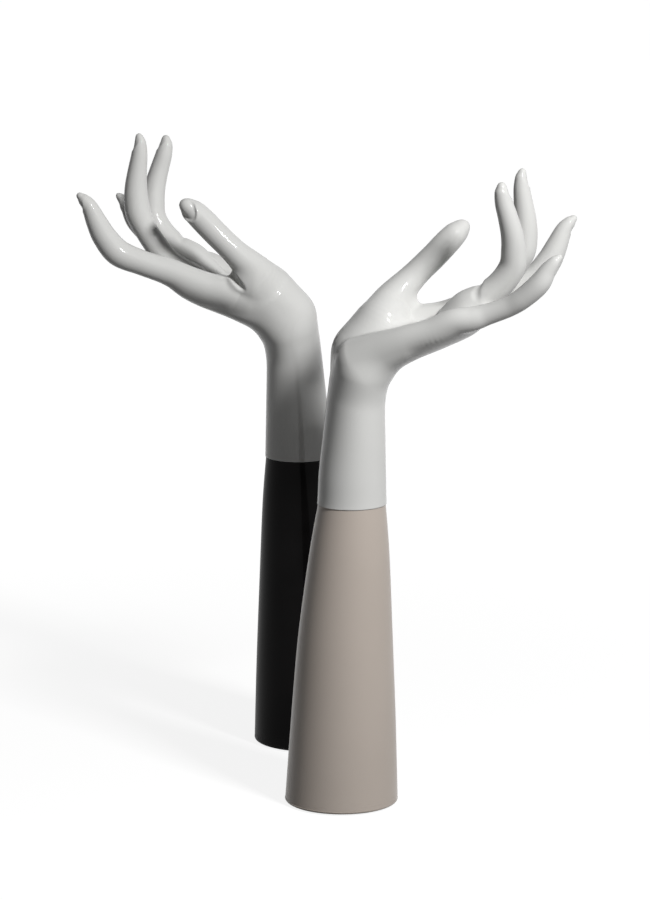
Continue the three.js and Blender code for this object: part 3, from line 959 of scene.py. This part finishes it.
# %% The ribbed bar
def ribbed_bar():
    sizes = [
        "Radius", "Length", "Ridges round", "Climb per turn", "Depth", "Depth the other way", "Ribbed end",
        "Chamfer",
    ]
    inputs = {**dict.fromkeys(sizes, "Float"), "Rows": "Int", "Sides": "Int", "Finish": "Material"}
    tree, given, output = tree_with("ribbed_bar", inputs, {"Geometry": "Geometry"})
    calc = partial(maths, tree)
    rows, length = given["Rows"], given["Length"]
    grid, row, angle = ring_grid(tree, rows, given["Sides"])
    share = calc("DIVIDE", row, calc("SUBTRACT", rows, 1))
    inner_share = calc("DIVIDE", calc("SUBTRACT", row, 1), calc("SUBTRACT", rows, 3))
    inner_share = calc("MINIMUM", calc("MAXIMUM", inner_share, 0), 1)
    height = calc("MULTIPLY", inner_share, length)
    to_end = calc("MINIMUM", height, calc("SUBTRACT", length, height))
    climb = calc("MULTIPLY", calc("DIVIDE", height, given["Climb per turn"]), 2 * math.pi)
    climb = calc("MULTIPLY", climb, given["Ridges round"])
    round_way = calc("MULTIPLY", angle, given["Ridges round"])
    cut = 0.0
    for sign, depth in (("SUBTRACT", given["Depth"]), ("ADD", given["Depth the other way"])):
        wave = calc("COSINE", calc(sign, climb, round_way))
        wave = calc("MULTIPLY", calc("MULTIPLY_ADD", wave, -0.5, 0.5), depth)
        cut = calc("ADD", cut, wave)
    ribbed = calc("LESS_THAN", to_end, given["Ribbed end"])
    cut = calc("MULTIPLY", cut, ribbed)
    chamfer = calc("MAXIMUM", calc("SUBTRACT", given["Chamfer"], to_end), 0)
    radius = calc("SUBTRACT", given["Radius"], calc("MAXIMUM", cut, chamfer))
    at_end = calc("COMPARE", calc("ABSOLUTE", calc("SUBTRACT", share, 0.5)), 0.5, 1e-6)
    radius = calc("MULTIPLY", radius, calc("SUBTRACT", 1, at_end))
    finished(tree, bent(tree, grid, angle, radius, 0.0, height), given["Finish"], output[0])
    return tree


RIBBED_BAR = ribbed_bar()


def moved(obj, x, y, z):
    obj.data.transform(Matrix.Translation(Vector((x, y, z)) * MM))
    return obj


THREAD_PITCH, THREAD_DEPTH, THREADED = 1.25, 0.65, 32
ROWS_PER_PITCH = 8
ROD_GAP_LOW, ROD_GAP_HIGH = 0.2, 1.8   # mm free below the rod and above it
ROD_LOW = FELT_H + ROD_GAP_LOW
ANCHOR_Z = SEAM_Z - SPIGOT_H + ANCHOR_SUNK
ROD_HIGH = ANCHOR_Z + ANCHOR_H - ANCHOR_CAP - ROD_GAP_HIGH
ROD_LENGTH = ROD_HIGH - ROD_LOW

tie_rod = made_by(RIBBED_BAR, "tie_rod", {
    "Radius": ROD_R * MM, "Length": ROD_LENGTH * MM, "Sides": 28,
    "Rows": int(ROD_LENGTH / THREAD_PITCH * ROWS_PER_PITCH), "Ridges round": 1.0,
    "Climb per turn": THREAD_PITCH * MM, "Depth": THREAD_DEPTH * MM, "Depth the other way": 0.0,
    "Ribbed end": THREADED * MM, "Chamfer": 0.7 * MM, "Finish": STEEL,
})
moved(tie_rod, ROD_X, 0, ROD_LOW)
anchor = made_by(RIBBED_BAR, "anchor", {
    "Radius": ANCHOR_R * MM, "Length": ANCHOR_H * MM, "Sides": 192, "Rows": 90, "Ridges round": 32.0,
    "Climb per turn": 46 * MM, "Depth": 0.35 * MM, "Depth the other way": 0.35 * MM,
    "Ribbed end": 6.5 * MM, "Chamfer": 0.5 * MM, "Finish": BRASS,
})
moved(anchor, ROD_X, 0, ANCHOR_Z)
combined(anchor, post(HOLE_R, ANCHOR_H - ANCHOR_CAP + PAST, ROD_X, 0, ANCHOR_Z - PAST), "DIFFERENCE")
tidy_mesh(anchor)
dowel_rows = [(0, 0, 0), (DOWEL_R, 0, 0, 0.35), (DOWEL_R, 0, DOWEL_H, 0.35), (0, 0, DOWEL_H)]
dowel = turned("dowel", rounded(dowel_rows), STEEL, 40)
moved(dowel, SEAM_X, DOWEL_Y, SEAM_Z - DOWEL_H / 2)
print("rod", len(tie_rod.data.polygons), "insert", len(anchor.data.polygons), "faces")

# %% [markdown]
# ## Washer and nut
# The washer is turned with a punched, slightly rounded edge. The nut is a hexagonal bar cut with a coned
# blank, which leaves the curved corners that every nut has.

# %% Washer and nut
WASHER_R, WASHER_H, NUT_FLATS, NUT_H = 12, 2, 13, 6.5
NUT_CORNER = NUT_FLATS / math.sqrt(3)
WASHER_LOW = FELT_H + RECESS_H - WASHER_H
NUT_LOW = WASHER_LOW - NUT_H


def washer_piece():
    rows = [(HOLE_R, 0, 0, 0.2), (WASHER_R, 0, 0, 0.5), (WASHER_R, 0, WASHER_H, 0.25),
            (HOLE_R, 0, WASHER_H, 0.2)]
    return moved(turned("washer", closed(rounded(rows)), STEEL), ROD_X, 0, WASHER_LOW)


def nut_piece():
    bar = post(NUT_CORNER, NUT_H, ROD_X, 0, NUT_LOW, 6)
    bar.data.materials.append(STEEL)
    cone = 0.9
    flat = NUT_FLATS / 2 - 0.1
    blank = turned("nut_blank", [
        (0, 0, 0), (flat, 0, 0), (NUT_CORNER + 0.1, 0, cone), (NUT_CORNER + 0.1, 0, NUT_H - cone),
        (flat, 0, NUT_H), (0, 0, NUT_H),
    ], STEEL)
    combined(bar, moved(blank, ROD_X, 0, NUT_LOW), "INTERSECT")
    combined(bar, post(HOLE_R, NUT_H + 2 * PAST, ROD_X, 0, NUT_LOW - PAST), "DIFFERENCE")
    bar.name = "nut"
    return tidy_mesh(bar, 20)


washer, nut = washer_piece(), nut_piece()
print("washer", len(washer.data.polygons), "nut", len(nut.data.polygons), "faces")

# %% [markdown]
# ## Both arms
# Both arms are one casting, so each piece is made once, on the front arm, and the rear arm gets a copy
# that is turned almost right round. The turn goes into the copy's points. Every piece rides on its arm's
# body, takes the place of the plain solid of the same name and gets the finish of its material slot. Only
# the sleeves differ, taupe in front and black behind.

# %% Dress both arms
REAR_PLACE = (-15.7, 162.8, 0)         # mm
REAR_TURN = math.radians(174.14)
REAR_MATRIX = Matrix.Translation(Vector(REAR_PLACE) * MM) @ Matrix.Rotation(REAR_TURN, 4, "Z")

PIECES = {
    "hand": (hand, "white_lacquer"), "sleeve": (sleeve_shell, "sleeve"), "dowel": (dowel, "plated_steel"),
    "anchor": (anchor, "brass_insert"), "tie_rod": (tie_rod, "plated_steel"),
    "ballast": (ballast, "ballast_iron"), "base_plate": (base_plate, "fibreboard"),
    "washer": (washer, "plated_steel"), "nut": (nut, "plated_steel"), "felt_pad": (felt_pad, "felt"),
}
ARMS = {"front": (Matrix.Identity(4), "taupe_lacquer"), "rear": (REAR_MATRIX, "black_lacquer")}

for side, (place, sleeve_slot) in ARMS.items():
    for name, (original, slot) in PIECES.items():
        slot = sleeve_slot if slot == "sleeve" else slot
        mesh = original.data.copy()
        mesh.transform(place)
        mesh.materials.clear()
        mesh.materials.append(FINISHES[slot])
        dressed = bpy.data.objects.new(f"{side}_{name}_finished", mesh)
        bpy.context.scene.collection.objects.link(dressed)
        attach(dressed, side + "_arm")
        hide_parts(f"{side}_{name}")
remove(*[original for original, slot in PIECES.values()])
print("dressed", len(ARMS) * len(PIECES), "pieces")

# %% [markdown]
# ## Floor, light and background
# One soft lamp stands to the right of the camera and above it, as the shadows and the lamp's reflections
# in the photograph show, and the world gives a weak even light. Where the camera or a reflection sees the
# floor or the world, they are white. The floor's white is part its own and part lit, so it keeps the
# arms' soft shadow.

# %% Floor, light and background
bpy.context.scene.view_settings.view_transform = "Standard"
FLOOR_SIZE = 40                        # m, so that its edge is above the picture
FLOOR_TONE = 0.2
OWN_WHITE_NEAR, OWN_WHITE_FAR = 0.88, 1.0
NEAR, AWAY = 0.2, 1.4                  # m from the front foot, where the two whites of its own hold
WORLD_LIGHT = 0.06
LAMP_AIM = (0, 0.08, 0.25)             # m, between the two arms
LAMP_DISTANCE, LAMP_SIZE = 1.8, (0.30, 0.26)
LAMP_POWER = 33


def seen_directly(tree):
    """1 for what the camera sees directly, in a reflection or through glass, and 0 for the rest."""
    path = tree.nodes.new("ShaderNodeLightPath").outputs
    mirrored = maths(tree, "MAXIMUM", path["Is Glossy Ray"], path["Is Transmission Ray"])
    return maths(tree, "MAXIMUM", path["Is Camera Ray"], mirrored)


def studio_world():
    world = bpy.data.worlds.new("studio")
    bpy.context.scene.world = world
    world.use_nodes = True
    tree = world.node_tree
    tree.nodes.clear()
    light = node(tree, "ShaderNodeBackground", {"Color": rgb(1, 1, 1), "Strength": WORLD_LIGHT})
    white = node(tree, "ShaderNodeBackground", {"Color": rgb(1, 1, 1), "Strength": 1.0})
    mix = {0: seen_directly(tree), 1: light.outputs[0], 2: white.outputs[0]}
    shown = node(tree, "ShaderNodeMixShader", mix)
    node(tree, "ShaderNodeOutputWorld", {"Surface": shown.outputs[0]})


def floor_material():
    made = bpy.data.materials.new("pale_floor")
    made.use_nodes = True
    tree = made.node_tree
    shader = tree.nodes["Principled BSDF"].inputs
    shader["Base Color"].default_value = rgb(FLOOR_TONE, FLOOR_TONE, FLOOR_TONE)
    shader["Roughness"].default_value = 0.9
    shader["Specular IOR Level"].default_value = 0
    shader["Emission Color"].default_value = rgb(1, 1, 1)
    place = tree.nodes.new("ShaderNodeTexCoord").outputs["Object"]
    away = node(tree, "ShaderNodeVectorMath", {0: place}, operation="LENGTH").outputs["Value"]
    own = between(tree, away, NEAR, AWAY, OWN_WHITE_NEAR, OWN_WHITE_FAR)
    tree.links.new(maths(tree, "MULTIPLY", seen_directly(tree), own), shader["Emission Strength"])
    return made


half = FLOOR_SIZE / 2 / MM
corners = [(-half, -half, 0), (half, -half, 0), (half, half, 0), (-half, half, 0)]
floor = piece("floor", corners, [(0, 1, 2, 3)])
floor.data.materials.append(floor_material())
studio_world()

# the lamp seen from between the arms: the azimuth turns from the camera's side towards +X
AZIMUTH, ELEVATION = math.radians(32), math.radians(37)
way = Vector((
    math.sin(AZIMUTH) * math.cos(ELEVATION), -math.cos(AZIMUTH) * math.cos(ELEVATION), math.sin(ELEVATION),
))
key = bpy.data.objects.new("key", bpy.data.lights.new("key", "AREA"))
bpy.context.scene.collection.objects.link(key)
key.location = Vector(LAMP_AIM) + way * LAMP_DISTANCE
key.rotation_euler = (-way).to_track_quat("-Z", "Y").to_euler()
key.data.shape = "RECTANGLE"
key.data.size, key.data.size_y = LAMP_SIZE
key.data.energy = LAMP_POWER
